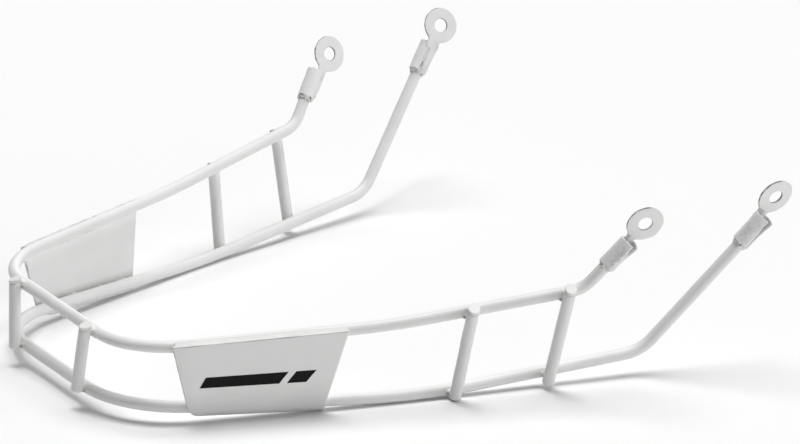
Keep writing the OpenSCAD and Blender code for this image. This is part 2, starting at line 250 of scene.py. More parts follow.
def ramp(x, a, b):
    t = np.clip((x - a) / (b - a), 0, 1)
    return t * t * (3 - 2 * t)


def hump(x, middle, width):
    return np.exp(-((x - middle) / width) ** 2)


def blurred(field):
    """A grid smoothed along each of its axes."""
    for axis in range(3):
        f = np.moveaxis(field, axis, 0)
        g = f.copy()
        g[1:-1] = 0.25 * f[:-2] + 0.5 * f[1:-1] + 0.25 * f[2:]
        field = np.moveaxis(g, 0, axis)
    return np.ascontiguousarray(field)


def sampled(field, q):
    """Trilinear samples of a grid at grid coordinates q."""
    q = np.clip(q, 0, np.array(field.shape) - 1.001)
    i = q.astype(int)
    t = q - i
    out = np.zeros(len(q))
    for corner in np.ndindex(2, 2, 2):
        out += np.where(corner, t, 1 - t).prod(1) * field[tuple((i + corner).T)]
    return out


EVEN_ROUNDS = 2
PULL_ROUNDS = 2


def skin(shape, lo, hi, step):
    """Closed mesh round the points where shape(points) is below 0, inside the box lo to hi."""
    margin = 3 * step
    axes = [np.arange(a - margin, b + margin, step) for a, b in zip(lo, hi)]
    grid = np.stack(np.meshgrid(*axes, indexing="ij"), -1)
    field = blurred(shape(grid.reshape(-1, 3)).reshape(grid.shape[:3]))
    # Nothing reaches the grid's own faces
    for axis in range(3):
        f = np.moveaxis(field, axis, 0)
        for i in (0, 1, -1, -2):
            f[i] = np.maximum(f[i], step / 2)
    inside = field < 0
    n = np.array(field.shape)
    count = sum(inside[x:n[0] - 1 + x, y:n[1] - 1 + y, z:n[2] - 1 + z].astype(np.int8)
                for x, y, z in np.ndindex(2, 2, 2))
    cells = np.argwhere((count > 0) & (count < 8))
    index = np.full(count.shape, -1)
    index[tuple(cells.T)] = np.arange(len(cells))
    total, hits = np.zeros((len(cells), 3)), np.zeros(len(cells))
    for axis in range(3):
        u, v = (axis + 1) % 3, (axis + 2) % 3
        for du, dv in np.ndindex(2, 2):
            a = np.zeros(3, int)
            a[u], a[v] = du, dv
            b = a.copy()
            b[axis] = 1
            fa, fb = field[tuple((cells + a).T)], field[tuple((cells + b).T)]
            cross = (fa < 0) != (fb < 0)
            t = np.where(cross, fa / np.where(cross, fa - fb, 1), 0)
            total += cross[:, None] * (cells + a + t[:, None] * (b - a))
            hits += cross
    q = total / hits[:, None]
    faces = []
    for axis in range(3):
        u, v = (axis + 1) % 3, (axis + 2) % 3
        f = np.moveaxis(inside, (axis, u, v), (0, 1, 2))
        change = f[:-1, 1:-1, 1:-1] != f[1:, 1:-1, 1:-1]
        spots = np.argwhere(change) + [0, 1, 1]
        grow = f[tuple(spots.T)]
        ids = np.moveaxis(index, (axis, u, v), (0, 1, 2))
        quad = np.stack([ids[spots[:, 0], spots[:, 1] + a, spots[:, 2] + b]
                         for a, b in ((-1, -1), (0, -1), (0, 0), (-1, 0))], 1)
        quad[~grow] = quad[~grow][:, ::-1]
        faces.append(quad)
    faces = np.concatenate(faces)
    # Even the points out, then bring them back to the surface
    slope = np.gradient(field)
    edges = np.concatenate([faces[:, [i, (i + 1) % 4]] for i in range(4)])
    for _ in range(EVEN_ROUNDS):
        mean, times = np.zeros_like(q), np.zeros(len(q))
        for i, j in ((0, 1), (1, 0)):
            np.add.at(mean, edges[:, i], q[edges[:, j]])
            np.add.at(times, edges[:, i], 1)
        q = 0.5 * q + 0.5 * mean / times[:, None]
        for _ in range(PULL_ROUNDS):
            g = np.stack([sampled(s, q) for s in slope], 1)
            f = sampled(field, q)
            q = q - np.clip(f / np.maximum((g * g).sum(1), 1e-6 * step * step), -1, 1)[:, None] * g
    return vec(*[a[0] for a in axes]) + q * step, faces


def mirrored(points, faces):
    return points * [-1, 1, 1], [face[::-1] for face in faces]


def on_side(side, points, faces):
    """A piece as it is made, which is for the left, or mirrored to the right."""
    return mirrored(points, faces) if side == "right" else (points, faces)


def joined(parts):
    """One piece from several of (points, faces)."""
    points, faces, start = [], [], 0
    for p, f in parts:
        points.append(p)
        faces += [[start + int(i) for i in face] for face in f]
        start += len(p)
    return np.concatenate(points), faces


def ring_faces(rings, sides):
    """The faces between rings of points, one ring after the other."""
    return [[i * sides + j, i * sides + (j + 1) % sides,
             (i + 1) * sides + (j + 1) % sides, (i + 1) * sides + j]
            for i in range(rings - 1) for j in range(sides)]


def capped_faces(rings, sides):
    """The faces of a closed tube of rings. Two more points close its first and its last ring."""
    start, end = rings * sides, rings * sides + 1
    last = (rings - 1) * sides
    return (ring_faces(rings, sides)
            + [[start, (j + 1) % sides, j] for j in range(sides)]
            + [[end, last + j, last + (j + 1) % sides] for j in range(sides)])


def grid_quads(cols, rows):
    """The faces between points that stand in columns, one column after the other."""
    return [[a, a + 1, a + rows + 1, a + rows]
            for i in range(cols - 1) for a in range(i * rows, (i + 1) * rows - 1)]


def add(name, points, faces, material, slot, *nodes, shade_and_wear=None):
    """A piece from points in the part's own millimetres. The last argument is how dark each point is
    painted: painted shade in gaps, creases and recesses, and darker edges.
    """
    mesh = bpy.data.meshes.new(name)
    mesh.from_pydata((np.asarray(points) * MM).tolist(), [], [list(map(int, f)) for f in faces])
    mesh.validate()
    mesh.polygons.foreach_set("use_smooth", np.ones(len(mesh.polygons), bool))
    mesh.materials.append(material)
    if shade_and_wear is not None:
        mesh.attributes.new("shade_and_wear", "FLOAT", "POINT").data.foreach_set("value", shade_and_wear.astype(np.float32))
    mesh.update()
    piece = bpy.data.objects.new(name, mesh)
    bpy.context.scene.collection.objects.link(piece)
    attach(piece, "root")
    if nodes:
        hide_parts(*nodes)


def pair(name, points, faces, material, slot):
    """The same piece on the left and, mirrored, on the right. The %s in the name is the side."""
    add(name % "left", points, faces, material, slot)
    add(name % "right", *mirrored(points, faces), material, slot)


# Materials
# The coat's noises in cells a metre, and the depth of the last two in metres
CLOUD_SCALE = 55
GLOSS_SCALE = 240
PEEL_SCALE = 700
PEEL_DEPTH = 0.00012
GRAIN_SCALE = 3200
GRAIN_DEPTH = 0.00003
# The span of a noise between its dark and its light
NOISE_SPAN = (0.3, 0.7)
# The dark colour painted where shade falls in gaps, creases and recesses, and on darker edges
SHADE_AND_WEAR_COLOUR = (0.055, 0.053, 0.05, 1)
PRINT_SCALE = 900
PRINT_DEPTH = 0.00004


def nodes_of(name):
    material = bpy.data.materials.new(name)
    material.use_nodes = True
    tree = material.node_tree
    return material, tree, tree.nodes["Principled BSDF"]


def noise_of(tree, place, scale, detail, rough=0.5):
    noise = tree.nodes.new("ShaderNodeTexNoise")
    noise.inputs["Scale"].default_value = scale
    noise.inputs["Detail"].default_value = detail
    noise.inputs["Roughness"].default_value = rough
    tree.links.new(place.outputs["Object"], noise.inputs["Vector"])
    return noise.outputs["Fac"]


def tint_of(tree, noise, stops):
    """A colour that follows a noise between two stops of (level, colour)."""
    tint = tree.nodes.new("ShaderNodeValToRGB")
    for element, (level, colour) in zip(tint.color_ramp.elements, stops):
        element.position = level
        element.color = (*colour, 1)
    tree.links.new(noise, tint.inputs["Fac"])
    return tint.outputs["Color"]


def bump_of(tree, noise, strength, depth):
    bump = tree.nodes.new("ShaderNodeBump")
    bump.inputs["Strength"].default_value = strength
    bump.inputs["Distance"].default_value = depth
    tree.links.new(noise, bump.inputs["Height"])
    return bump


def coat(name, light, dark, roughness, peel, grain):
    """White powder coat: a faint cloudiness, fine orange peel and grain, uneven gloss, and a dark colour
    mixed in for painted shade and darker edges.
    """
    material, tree, shader = nodes_of(name)
    new, link = tree.nodes.new, tree.links.new
    place = new("ShaderNodeTexCoord")
    tint = tint_of(tree, noise_of(tree, place, CLOUD_SCALE, 3), zip(NOISE_SPAN, (dark, light)))
    # Painted shade and darker edges: each piece's own darkening mixes in the dark colour
    shade_and_wear = new("ShaderNodeAttribute")
    shade_and_wear.attribute_name = "shade_and_wear"
    darkened = new("ShaderNodeMix")
    darkened.data_type = "RGBA"
    darkened.inputs["B"].default_value = SHADE_AND_WEAR_COLOUR
    link(shade_and_wear.outputs["Fac"], darkened.inputs["Factor"])
    link(tint, darkened.inputs["A"])
    link(darkened.outputs["Result"], shader.inputs["Base Color"])

    spread = new("ShaderNodeMapRange")
    spread.inputs["From Min"].default_value, spread.inputs["From Max"].default_value = NOISE_SPAN
    spread.inputs["To Min"].default_value = roughness - 0.05
    spread.inputs["To Max"].default_value = roughness + 0.07
    link(noise_of(tree, place, GLOSS_SCALE, 2), spread.inputs["Value"])
    link(spread.outputs["Result"], shader.inputs["Roughness"])

    first = bump_of(tree, noise_of(tree, place, PEEL_SCALE, 2), peel, PEEL_DEPTH)
    second = bump_of(tree, noise_of(tree, place, GRAIN_SCALE, 2, 0.6), grain, GRAIN_DEPTH)
    link(first.outputs["Normal"], second.inputs["Normal"])
    link(second.outputs["Normal"], shader.inputs["Normal"])
    shader.inputs["Specular IOR Level"].default_value = 0.4
    return material


def print_ink(name):
    """Matt black print."""
    material, tree, shader = nodes_of(name)
    grain = noise_of(tree, tree.nodes.new("ShaderNodeTexCoord"), PRINT_SCALE, 4)
    tint = tint_of(tree, grain, ((0.35, (0.003, 0.003, 0.003)), (0.75, (0.008, 0.008, 0.008))))
    tree.links.new(tint, shader.inputs["Base Color"])
    bump = bump_of(tree, grain, 0.3, PRINT_DEPTH)
    tree.links.new(bump.outputs["Normal"], shader.inputs["Normal"])
    shader.inputs["Roughness"].default_value = 0.5
    shader.inputs["Specular IOR Level"].default_value = 0.15
    return material


rod_coat = coat("white_coat_on_rod", (0.84, 0.84, 0.835), (0.80, 0.80, 0.795), 0.42, 0.35, 0.3)
sheet_coat = coat("white_coat_on_sheet", (0.86, 0.86, 0.855), (0.82, 0.82, 0.815), 0.45, 0.25, 0.35)
weld_coat = coat("white_coat_on_weld", (0.82, 0.82, 0.812), (0.72, 0.715, 0.70), 0.5, 0.6, 0.5)
black_print = print_ink("black_print")


# Rails
ROD_SIDES = 48
ROD_TURNS = np.arange(ROD_SIDES) * 2 * pi / ROD_SIDES
# A hair inside the solid rods, for the unevenness of the coat, whose waves are so long and high
SKIN_R = ROD_R - 0.01
RAIL_WAVE = 14
RAIL_UNEVEN = 0.012
# The rings of a rail's rounded end, in degrees round the rounding, and its radius
TIP_TURNS = (0, 25, 50, 72)
TIP_R = 0.5
RAIL_STEP = 3.0
RAIL_TURN = radians(3)


def spokes(e0, e1):
    """The directions round a rod, from the first towards the second."""
    return np.outer(np.cos(ROD_TURNS), e0) + np.outer(np.sin(ROD_TURNS), e1)


def rail_mesh(stations, waves):
    """A closed rod along stations of (point, direction), with rounded ends."""
    point = np.array([p for p, _ in stations])
    way = np.array([w for _, w in stations])
    side = unit(np.cross(way[0], [0, 0, 1.0]))
    frames = []
    for i in range(len(point)):
        side = unit(side - (side @ way[i]) * way[i])
        frames.append((side, np.cross(way[i], side)))

    def ring(i, shift, radius):
        around = spokes(*frames[i])
        p = point[i] + shift * way[i] + radius * around
        return p + (RAIL_UNEVEN * waves(p))[:, None] * around

    def tip_rings(i, inward):
        return [ring(i, inward * TIP_R * (1 - sin(a)), SKIN_R - TIP_R * (1 - cos(a)))
                for a in map(radians, TIP_TURNS)]

    last = len(point) - 1
    rings = tip_rings(0, 1)[::-1] + [ring(i, 0, SKIN_R) for i in range(1, last)] + tip_rings(last, -1)
    return np.concatenate(rings + [point[:1], point[-1:]]), capped_faces(len(rings), ROD_SIDES)


for name, rail, seed in (("upper_rail", upper, 11), ("lower_rail", lower, 12)):
    half = [(p + DATUM, w) for p, w in rail.half(RAIL_STEP, RAIL_TURN)]
    other = [(p * [-1, 1, 1], w * [1, -1, -1]) for p, w in half[:0:-1]]
    points, faces = rail_mesh(other + half, Waves(seed, RAIL_WAVE))
    add(name + "_coated", points, faces, rod_coat, "coated_rod", name)


# Cross bars
BAR_WAVE = 9
BAR_UNEVEN = 0.015
# A bar's sawn head, ring by ring: how far below its face, how far the radius is drawn in there,
# and how dark it is painted there, which is painted shade in the groove under the head
GROOVE_SHADE = 0.28
HEAD_PROFILE = ((4.5, 0, 0), (3.2, 0, 0), (2.3, 0, 0), (1.75, 0.06, 0), (1.4, 0.2, GROOVE_SHADE),
                (1.1, 0.12, GROOVE_SHADE), (0.9, -0.03, 0), (0.6, -0.05, 0), (0.3, -0.05, 0),
                (0.1, 0, 0), (0.03, 0.07, 0), (0, 0.16, 0), (0, 0.24, 0), (0, 0.6, 0), (0, 1.3, 0))
# Its foot: how far above the end, and how far the radius is drawn in there
FOOT_PROFILE = ((0, 0.8), (0.08, 0.45), (0.3, 0.17), (0.55, 0.04), (0.8, 0))
# The plain rings between them
BODY_START = 1.5
BODY_STOP = 5.5
BODY_RINGS = 14
# The head's slope begins this far below its face and is full this much higher
SLOPE_DEPTH = 4.5
SLOPE_RUN = 3.0
# Tall heads are sawn at a slant, in degrees, and short ones almost square
TALL_HEAD = 1.5
TALL_SLOPE = 20
SHORT_SLOPE = 4


def bar_mesh(a, b, out, slope, waves):
    """A closed bar from a to b. Its head is sawn with a slope, higher towards the rail."""
    length = np.linalg.norm(b - a)
    way = (b - a) / length
    e0 = unit(out - (out @ way) * way)
    around = spokes(e0, np.cross(way, e0))
    profile = [(t, inset, 0, 0) for t, inset in FOOT_PROFILE]
    profile += [(t, 0, 0, 0) for t in np.linspace(BODY_START, length - BODY_STOP, BODY_RINGS)]
    profile += [(length - d, inset, min(1.0, max(0.0, (SLOPE_DEPTH - d) / SLOPE_RUN)), shade)
                for d, inset, shade in HEAD_PROFILE]
    rings, shade_and_wear = [], []
    for t, inset, share, shade in profile:
        r = SKIN_R - inset
        lift = share * tan(slope) * (ROD_R - r * np.cos(ROD_TURNS))
        p = a + t * way + r * around + lift[:, None] * way
        rings.append(p + (BAR_UNEVEN * waves(p))[:, None] * around)
        # Painted shade in the groove under the head
        shade_and_wear += [shade] * ROD_SIDES
    tip = b + tan(slope) * ROD_R * way
    points = np.concatenate(rings + [a[None], tip[None]])
    return points, capped_faces(len(rings), ROD_SIDES), np.array(shade_and_wear + [0, 0], float)


for number, (name, (foot, top, below, above)) in enumerate(BARS.items()):
    for side, seed in (("left", 21), ("right", 31)):
        a, b = bar_line(foot, top, below, above[side])
        slope = radians(TALL_SLOPE if above[side] > TALL_HEAD else SHORT_SLOPE)
        out = side_of(top, unit(b - a))
        waves = Waves(seed + number, BAR_WAVE)
        points, faces, shade_and_wear = bar_mesh(a + DATUM, b + DATUM, out, slope, waves)
        add(f"{side}_{name}_bar_coated", *on_side(side, points, faces), rod_coat, "coated_rod",
            f"{side}_{name}_bar", shade_and_wear=shade_and_wear)


# Rod distance, for the welds
RAIL_PIECE = 0.8
RAIL_PIECE_TURN = radians(2)


def line_distance(p, a, b):
    d = b - a
    t = np.clip((p - a) @ d / (d @ d), 0, 1)
    return np.linalg.norm(p - a - t[:, None] * d, axis=1)


def near_rail(rail, spot, reach):
    """Distance from the rail's centre line, true within reach of the spot, bends included."""
    half = rail.half(RAIL_PIECE, RAIL_PIECE_TURN)
    pts = np.array([p for p, _ in half])
    pts = np.concatenate([(pts * [-1, 1, 1])[:0:-1], pts])
    near = pts[np.linalg.norm(pts - spot, axis=1) < reach + 2]

    def distance(p):
        return np.minimum.reduce([line_distance(p, a, b) for a, b in zip(near[:-1], near[1:])])
    return distance


# Welds between bars and rails
WELD_STEP = 0.2
# How far a weld's skin lies inside the rods where it fills no corner
WELD_SINK = 0.03
# A joint's lumps: how many on each side of the bar, where they lie, their radius, and how softly
# they merge
LUMPS = 2
LUMP_ALONG = (1.5, 2.3)
LUMP_UP = (-1.0, 0.7)
LUMP_OUT = (-0.6, 0.0)
LUMP_R = (0.55, 0.8)
LUMP_BLEND = 0.8
# How wide the fillet between the rods is, and how much wider behind a head at the top rail, where
# it grows over these heights
FILLET = (0.8, 1.2)
HEAD_FILLET = 1.6
HEAD_HEIGHTS = (0.3, 1.6)
WELD_ROUGH = 0.07
# Each weld ends in a ball round its joint, and short of the bar's two ends
JOINT_BALL = 3.7
JOINT_BALL_BLEND = 0.6
JOINT_BOX = 4.2
BAR_END_GAP = 0.3
# Painted shade of a small pit at the weld's edge: a dark spot, with no hollow
PIT_ALONG = 2.5
PIT_UP = (-0.6, 0.2)
PIT_OUT = 0.9
PIT_R = 1.0
PIT_SHADE = 0.6


def sunk(body, rods):
    """The weld where it fills a corner, and elsewhere a skin just inside the rods."""
    lift = rods - body
    return np.where(lift > WELD_SINK, body, rods + WELD_SINK + (WELD_SINK - lift) * 0.5)


def joint_weld(rail, spot, line, top, pit_side, seed):
    """The weld in the corners between a bar and a rail, sunk a hair into both rods elsewhere,
    with the painted shade of a small pit at its edge. At the top rail it also fills the corner behind the
    head."""
    way = unit(line[1] - line[0])
    length = np.linalg.norm(line[1] - line[0])
    out = side_of(spot, way)
    middle = spot[0] + JOINT_STEP / 2 * out
    draw = np.random.default_rng(seed)
    to_rail = near_rail(rail, spot[0], 6)
    lumps = []
    for turn in (-1,) * LUMPS + (1,) * LUMPS:
        centre = middle + turn * draw.uniform(*LUMP_ALONG) * spot[1]
        centre = centre + draw.uniform(*LUMP_UP) * way + draw.uniform(*LUMP_OUT) * out
        lumps.append((centre, draw.uniform(*LUMP_R)))
    waves = Waves(seed + 500, 2.6)
    fillet = draw.uniform(*FILLET)

    def shape(p):
        rail_d = to_rail(p) - ROD_R
        run = (p - line[0]) @ way
        bar_d = np.linalg.norm(p - line[0] - run[:, None] * way, axis=1) - ROD_R
        bar_d = np.maximum.reduce([bar_d, BAR_END_GAP - run, run - length + BAR_END_GAP])
        rods = np.minimum(rail_d, bar_d)
        height = (p - middle) @ way
        wider = HEAD_FILLET * ramp(height, *HEAD_HEIGHTS) if top else 0
        body = smooth_min(rail_d, bar_d, fillet + wider)
        for centre, r in lumps:
            body = smooth_min(body, np.linalg.norm(p - centre, axis=1) - r, LUMP_BLEND)
        body = body + WELD_ROUGH * waves(p)
        # Away from the corners the blob lies inside the rods
        body = np.where(body < rods, body, rods)
        ball = np.linalg.norm(p - middle, axis=1) - JOINT_BALL
        return smooth_max(sunk(body, rods), ball, JOINT_BALL_BLEND)

    points, faces = skin(shape, middle - JOINT_BOX, middle + JOINT_BOX, WELD_STEP)
    pit = middle + pit_side * PIT_ALONG * spot[1] + draw.uniform(*PIT_UP) * way + PIT_OUT * out
    # The pit is only painted: a dark spot of painted shade
    shade_and_wear = PIT_SHADE * ramp(PIT_R - np.linalg.norm(points - pit, axis=1), 0, 0.6)
    return points + DATUM, faces, shade_and_wear


for number, (name, (foot, top, below, above)) in enumerate(BARS.items()):
    for side, seed in (("left", 41), ("right", 61)):
        line = bar_line(foot, top, below, above[side])
        pit_side = 1 if (name, side) == ("front", "left") else -1
        parts = [joint_weld(rail, spot, line, i == 1, pit_side, seed + 7 * number + i)
                 for i, (rail, spot) in enumerate(((lower, foot), (upper, top)))]
        points, faces = joined([part[:2] for part in parts])
        add(f"{side}_{name}_bar_weld_beads", *on_side(side, points, faces), weld_coat, "coated_weld",
            f"{side}_{name}_bar_welds", shade_and_wear=np.concatenate([part[2] for part in parts]))


# Cheek plates
EDGE_R = 0.5
# Places across the sheet: close together at its edges, even between them, and more at the curl
NEAR = np.array([0, 0.02, 0.07, 0.15, 0.27, 0.42, 0.6, 0.9, 1.4, 2.1, 3.0])
COLUMN_GAP = 4.5
COLUMNS = 26
ROW_GAP = 4.0
ROW_STOP = 6.0
ROWS = 9
CURL_ROWS = np.array([5.2, 4.4, 3.7])
# How much darker each plate's top edge is painted: how deep, how far from the edge, and how wide; the same
# for its front edge
TOP_EDGE_DARK = {"left": (0.38, 0.36, 0.18), "right": (1.1, 0.06, 0.3)}
FRONT_EDGE_DARK = (0.3, 0.1, 0.13)
# Darker towards the bottom of the outer face, from this far above the lower rail, and painted shade in the
# crease inside
LOW_DARKENING = 0.2
LOW_DARKENING_FROM = 9
PLATE_CREASE_SHADE = (0.3, -1.7, 0.55)


def corner_cut(r, d):
    """How much shorter the sheet is, at d from its side, for a corner of radius r."""
    return 0 if d >= r else r - sqrt(r * r - (r - d) ** 2)


def plate_mesh(top_edge_dark):
    """The two faces of the sheet, which meet in an edge rounded by the coat, and how dark each point is
    painted.
    """
    run = np.linalg.norm(plate_spots(1)[0][0] - plate_spots(0)[0][0])
    columns = np.linspace(COLUMN_GAP, run - COLUMN_GAP, COLUMNS)
    along = np.concatenate([NEAR, columns, (run - NEAR)[::-1]]) / run
    reach = ROD_R + COAT_GAP + PLATE_T / 2
    patch = Waves(77, 7)
    outer, inner, outer_darkening, inner_darkening = [], [], [], []
    for s in along:
        corners = ((PLATE_FRONT_R, run * s), (PLATE_REAR_R, run * (1 - s)))
        lip, foot, top_out, foot_out = sheet_line(s)
        flat = np.linalg.norm(lip - foot[0])
        full = flat + reach * PLATE_CURL
        whole = full - sum(corner_cut(r, u) for r, u in corners)
        down = np.concatenate([NEAR, np.linspace(ROW_GAP, whole - ROW_STOP, ROWS), whole - CURL_ROWS,
                               (whole - NEAR)[::-1]])
        rows = len(down)
        for w in down:
            # Distance from the outline, at the rounded corners of the foot too
            d = min(w, whole - w, run * s, run * (1 - s))
            for r, u in corners:
                v = full - w
                if u < r and v < r:
                    d = min(d, r - sqrt((r - u) ** 2 + (r - v) ** 2))
            d = max(d, 0)
            h = PLATE_T / 2 * (1 if d >= EDGE_R else sqrt(1 - (1 - d / EDGE_R) ** 2))
            if w <= flat:
                t = w / flat
                out = unit(top_out + t * (foot_out - top_out))
                base = lip + t * (foot[0] - lip) + reach * (top_out + t * (foot_out - top_out))
            else:
                a = (w - flat) / reach
                out = cos(a) * foot_out - sin(a) * np.cross(foot_out, foot[1])
                base = foot[0] + reach * out
            outer.append(base + h * out)
            inner.append(base - h * out)
            # Darker along the top edge and along the front edge, more so in places
            edge = max(depth * hump(place, middle, width) for place, (depth, middle, width)
                       in ((w, top_edge_dark), (run * s, FRONT_EDGE_DARK)))
            edge *= 0.75 + 0.5 * float(patch(base[None])[0])
            # Darker low on the outer face; painted shade in the crease above the lower rail on the inner
            # face
            depth, middle, width = PLATE_CREASE_SHADE
            outer_darkening.append(max(edge, LOW_DARKENING * ramp(w, flat - LOW_DARKENING_FROM, full) ** 1.5))
            inner_darkening.append(max(edge, depth * hump(w - flat, middle, width)))
    # The outline's points are shared by both faces, and within it the inner face has its own
    own = np.zeros((len(along), rows), bool)
    own[1:-1, 1:-1] = True
    own = own.ravel()
    number = np.arange(len(own))
    number[own] = len(own) + np.arange(own.sum())
    faces = []
    for quad in grid_quads(len(along), rows):
        faces += [quad[::-1], number[quad]]
    points = np.concatenate([outer, np.array(inner)[own]]) + DATUM
    shade_and_wear = np.concatenate([outer_darkening, np.array(inner_darkening)[own]])
    return points, faces, np.clip(shade_and_wear, 0, 1)


for side, top_edge_dark in TOP_EDGE_DARK.items():
    points, faces, shade_and_wear = plate_mesh(top_edge_dark)
    add(f"{side}_cheek_plate", *on_side(side, points, faces), sheet_coat, "coated_sheet",
        f"{side}_plate", shade_and_wear=shade_and_wear)


# Weld and coat that fill the seam between a plate and the upper rail, over the rail and under it.
# Each point is out from the rail's centre, up the plate, and uneven by so much
OVER_FILL = ((0.85, 2.05, 0), (1.5, 1.9, 0.05), (2.3, 1.66, 0.08), (2.9, 1.48, 0.05), (3.12, 1.38, 0.02),
             (3.0, 0.6, 0), (2.2, 0.3, 0), (1.3, 1.2, 0))
UNDER_FILL = ((1.9, -0.9, 0), (2.4, -1.4, 0), (2.42, -3.1, 0.25), (2.28, -3.3, 0.35), (1.85, -2.75, 0.2),
              (1.35, -2.25, 0.12), (0.85, -2.05, 0.05))
# It stops a little short of the plate's two ends
FILL_SHARE = (0.012, 0.988)
FILL_RINGS = 150


def plate_fill(profile, seed):
    waves = Waves(seed, 3.5)
    points = []
    for s in np.linspace(*FILL_SHARE, FILL_RINGS):
        foot, top, way = plate_spots(s)
        out = side_of(top, way)
        for y, z, rough in profile:
            p = top[0] + y * out + z * way
            # Points with another roughness take another place in the noise
            points.append(p + rough * float(waves(p[None] + 5 * rough)[0]) * unit(y * out + z * way))
    sides = len(profile)
    ends = [list(range(sides))[::-1], [(FILL_RINGS - 1) * sides + j for j in range(sides)]]
    return np.array(points) + DATUM, ring_faces(FILL_RINGS, sides) + ends


fill_points, fill_faces = joined([plate_fill(OVER_FILL, 801), plate_fill(UNDER_FILL, 802)])
pair("%s_plate_seam_fill", fill_points, fill_faces, weld_coat, "coated_weld")


# Print on the plates
# A plain slanted stripe in two parts: each part's share along the plate, and the stripe's share
# down it. Its ends slant by this share of the plate
STRIPE_PARTS = ((0.13, 0.66), (0.71, 0.84))
STRIPE_DOWN = (0.50, 0.66)
STRIPE_SLANT = 0.05
# It stands this far out of the face, and is set this deep into it
STRIPE_LIFT = 0.012
STRIPE_SINK = 0.05
STRIPE_CELLS = (40, 5)


def stripe_part(start, stop):
    """One part of the stripe, on a plate's outer face."""
    cols, rows = STRIPE_CELLS
    points = []
    for height in (STRIPE_LIFT, -STRIPE_SINK):
        for i in range(cols + 1):
            for j in range(rows + 1):
                w = STRIPE_DOWN[0] + (STRIPE_DOWN[1] - STRIPE_DOWN[0]) * j / rows
                s = start + (stop - start) * i / cols + STRIPE_SLANT * (0.5 - j / rows)
                lip, foot, top_out, foot_out = sheet_line(s)
                out = top_out + w * (foot_out - top_out)
                points.append(lip + w * (foot[0] - lip) + (ROD_R + COAT_GAP + PLATE_T + height) * out)
    grid = np.arange((cols + 1) * (rows + 1)).reshape(cols + 1, rows + 1)
    under = grid.size
    faces = []
    for quad in grid_quads(*grid.shape):
        faces += [quad[::-1], [under + k for k in quad]]
    rim = [*grid[:-1, 0], *grid[-1, :-1], *grid[:0:-1, -1], *grid[0, :0:-1]]
    faces += [[a, b, under + b, under + a] for a, b in zip(rim, rim[1:] + rim[:1])]
    return np.array(points) + DATUM, faces


stripe_points, stripe_faces = joined([stripe_part(*part) for part in STRIPE_PARTS])
pair("%s_plate_stripe", stripe_points, stripe_faces, black_print, "black_print")


# Welds behind the plates
# Each stitch's middle, how far from the rail's centre along the plate, and half its height, at the
# upper and at the lower rail
STITCH_UPPER = (1.9, 1.6)
STITCH_LOWER = (1.35, 1.0)
# Its middle's depth under the sheet's face, half its thickness, and how its length varies
STITCH_IN = 0.6
STITCH_HALF_T = 1.5
STITCH_LEN = (0.9, 1.25)
STITCH_FILLET = 1.9
STITCH_ROUGH = 0.10
RIPPLE = 0.06
RIPPLE_LEN = 1.7


def stitch(rail, spot, way, turn, seed):
    """One weld stitch between a plate and a rail. turn is -1 at the upper rail, 1 at the lower."""
    high, tall = STITCH_UPPER if turn < 0 else STITCH_LOWER
    side = side_of(spot, way)
    over_way = turn * np.cross(side, spot[1])
    draw = np.random.default_rng(seed)
    to_rail = near_rail(rail, spot[0], 9)
    face = ROD_R + COAT_GAP
    middle = spot[0] + (face - STITCH_IN) * side + high * over_way
    half = BEAD_LEN / 2 * draw.uniform(*STITCH_LEN)
    waves = Waves(seed + 900, 2.0)
    ripple = draw.uniform(0, 2 * pi)

    def shape(p):
        rail_d = to_rail(p) - ROD_R
        plate_d = face - (p - spot[0]) @ side
        run = (p - middle) @ spot[1]
        body = smooth_min(rail_d, plate_d, STITCH_FILLET)
        body = body + STITCH_ROUGH * waves(p) + RIPPLE * np.sin(run * 2 * pi / RIPPLE_LEN + ripple)
        q = np.stack([run / half, (p - middle) @ side / STITCH_HALF_T, (p - middle) @ over_way / tall], 1)
        cap = (np.linalg.norm(q, axis=1) - 1) * 1.2
        return smooth_max(sunk(body, np.minimum(rail_d, plate_d)), cap, 0.5)

    reach = half + 1
    points, faces = skin(shape, middle - reach, middle + reach, WELD_STEP)
    return points + DATUM, faces


for side, seed in (("left", 100), ("right", 140)):
    parts = []
    for row, (rail, ends, turn) in enumerate(((upper, PLATE_TOP, -1), (lower, PLATE_FOOT, 1))):
        for i in range(BEAD_COUNT):
            s = (i + 0.5) / BEAD_COUNT
            spot = rail.at(BACK, ends[0] + s * (ends[1] - ends[0]))
            parts.append(stitch(rail, spot, plate_spots(s)[2], turn, seed + 10 * row + i))
    points, faces = on_side(side, *joined(parts))
    add(f"{side}_plate_weld_stitches", points, faces, weld_coat, "coated_weld", f"{side}_plate_welds")


# Ring terminals
TERMINAL_STEP = 0.165
BEAD_STEP = 0.16
# Each terminal: how far its fold runs past the solid's, how dark the painted shade at its end and beside
# its bead is, and the
# darker band on its barrel: degrees round it, width in degrees and depth
ENDS = {("upper", "left"): (0.4, 0.45, (105, 29, 0.20)), ("upper", "right"): (0.3, 1.0, (0, 30, 0)),
        ("lower", "left"): (1.1, 0.9, (150, 42, 0.13)), ("lower", "right"): (0.9, 0.4, (0, 30, 0))}
# The barrel's sections in Y and Z, inset by the radius of their corners. The left ones are
# pressed flatter
FOOT_SECTION = [(2.5, 1.1), (2.6, -1.2), (2.0, -2.55), (-0.7, -2.55), (-1.6, -2.2), (-2.35, -1.45)]
SECTION = {
    "left": FOOT_SECTION + [
        (-2.75, -0.4), (-2.56, 0.28), (-2.04, 0.94), (-1.42, 1.62), (-0.74, 2.23), (0.01, 2.70),
        (0.92, 2.68), (1.7, 2.2)],
    "right": FOOT_SECTION + [
        (-2.78, -0.35), (-2.62, 0.38), (-2.15, 1.09), (-1.54, 1.78), (-0.82, 2.31), (-0.05, 2.62),
        (0.92, 2.65), (1.7, 2.2)],
}
SECTION_R = 0.6
